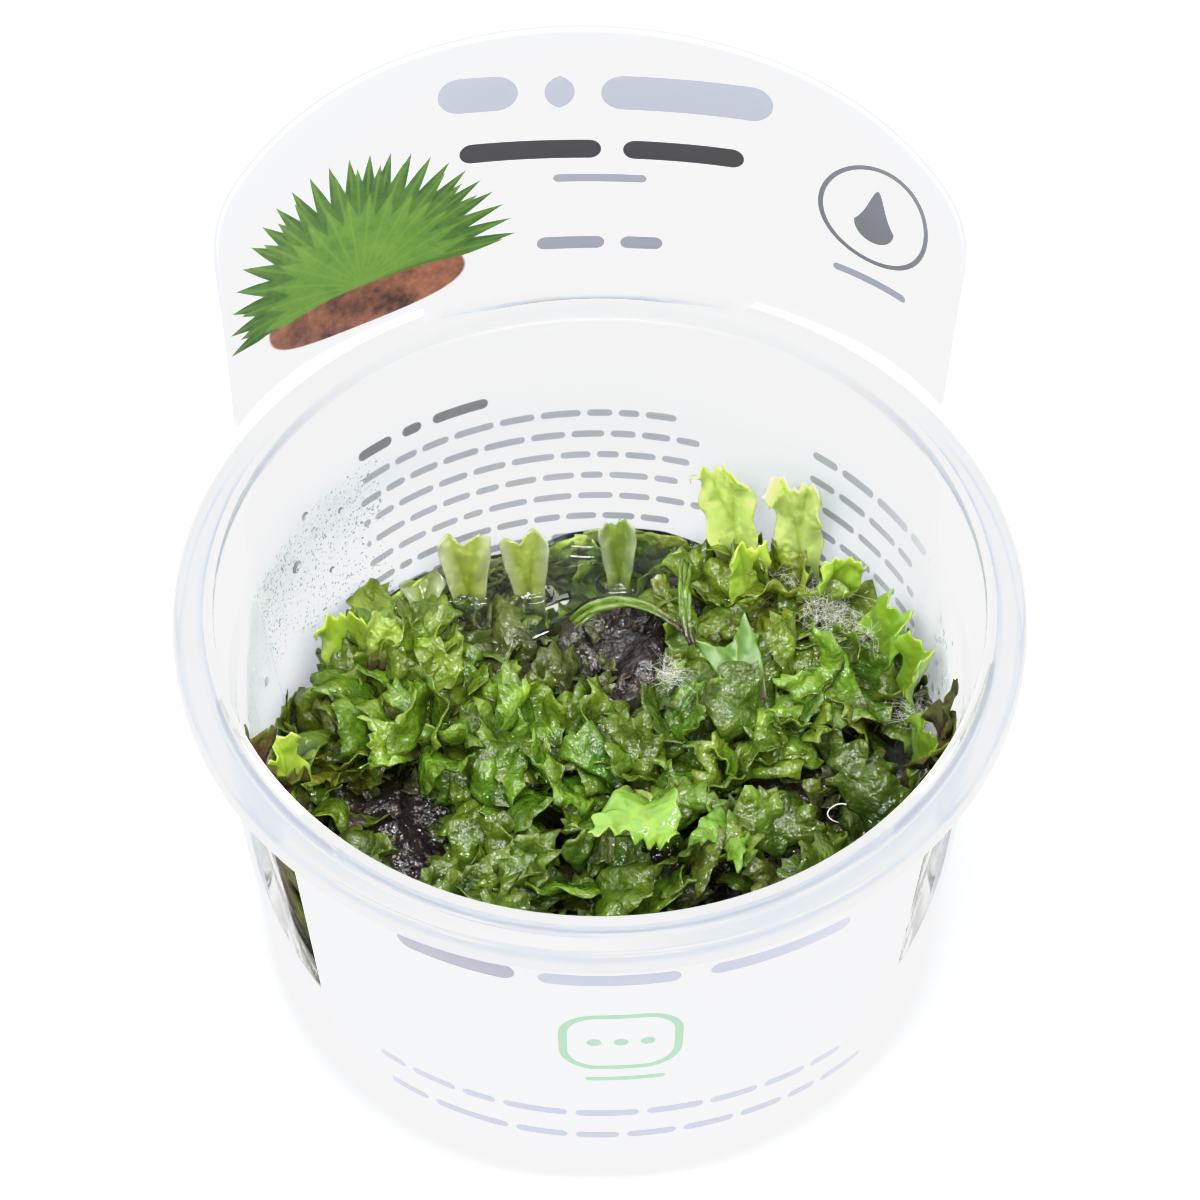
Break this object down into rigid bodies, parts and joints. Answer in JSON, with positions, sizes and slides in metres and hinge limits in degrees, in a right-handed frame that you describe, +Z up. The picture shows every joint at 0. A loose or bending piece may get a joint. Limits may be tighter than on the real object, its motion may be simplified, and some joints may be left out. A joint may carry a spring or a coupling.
{
  "type": "jar of monosolenium tenerum",
  "caption": "Clear round tub of an aquarium liverwort grown in clear gel, with a card sleeve that rises into a tall back panel.",
  "frame": {"origin": "middle of the tub's underside", "axes": "+Z up out of the tub's mouth, -Y towards the sleeve's front panel, +Y towards the tall back panel"},
  "size_m": [0.08, 0.0814, 0.0825],
  "materials": {
    "clear_plastic": "clear, slightly milky moulded plastic, glossy",
    "white_card": "smooth white coated card with pale grey and green print",
    "clear_gel": "clear wet growth gel",
    "plant_lime_green": "wet translucent young thallus, pale lime green",
    "plant_mid_green": "wet glossy thallus, fresh green",
    "plant_dark_green": "wet older thallus, dark green to brown"
  },
  "bodies": {
    "root": {"tub": "clear_plastic", "label_sleeve": "white_card", "growth_gel": "clear_gel", "clump_left": "plant_mid_green", "clump_back_left": "plant_lime_green", "clump_centre_left": "plant_mid_green", "clump_back_centre": "plant_dark_green", "clump_back_right": "plant_lime_green", "clump_right": "plant_mid_green", "clump_centre": "plant_mid_green", "clump_centre_right": "plant_mid_green", "clump_right_front": "plant_dark_green", "clump_front_right": "plant_mid_green", "clump_front": "plant_mid_green", "clump_front_left": "plant_mid_green", "clump_left_front": "plant_dark_green", "frond_tall_left": "plant_lime_green", "frond_tall_right": "plant_lime_green", "frond_tall_middle": "plant_lime_green", "frond_side_right": "plant_lime_green", "frond_wall_upper": "plant_mid_green", "frond_wall_middle": "plant_mid_green", "frond_wall_lower": "plant_mid_green", "frond_gel_left": "plant_lime_green", "frond_gel_middle": "plant_lime_green", "frond_gel_right": "plant_lime_green", "frond_back": "plant_mid_green", "frond_left_upper": "plant_lime_green", "frond_left_edge": "plant_lime_green", "frond_forked": "plant_mid_green", "frond_curled": "plant_mid_green"}
  },
  "joints": []
}
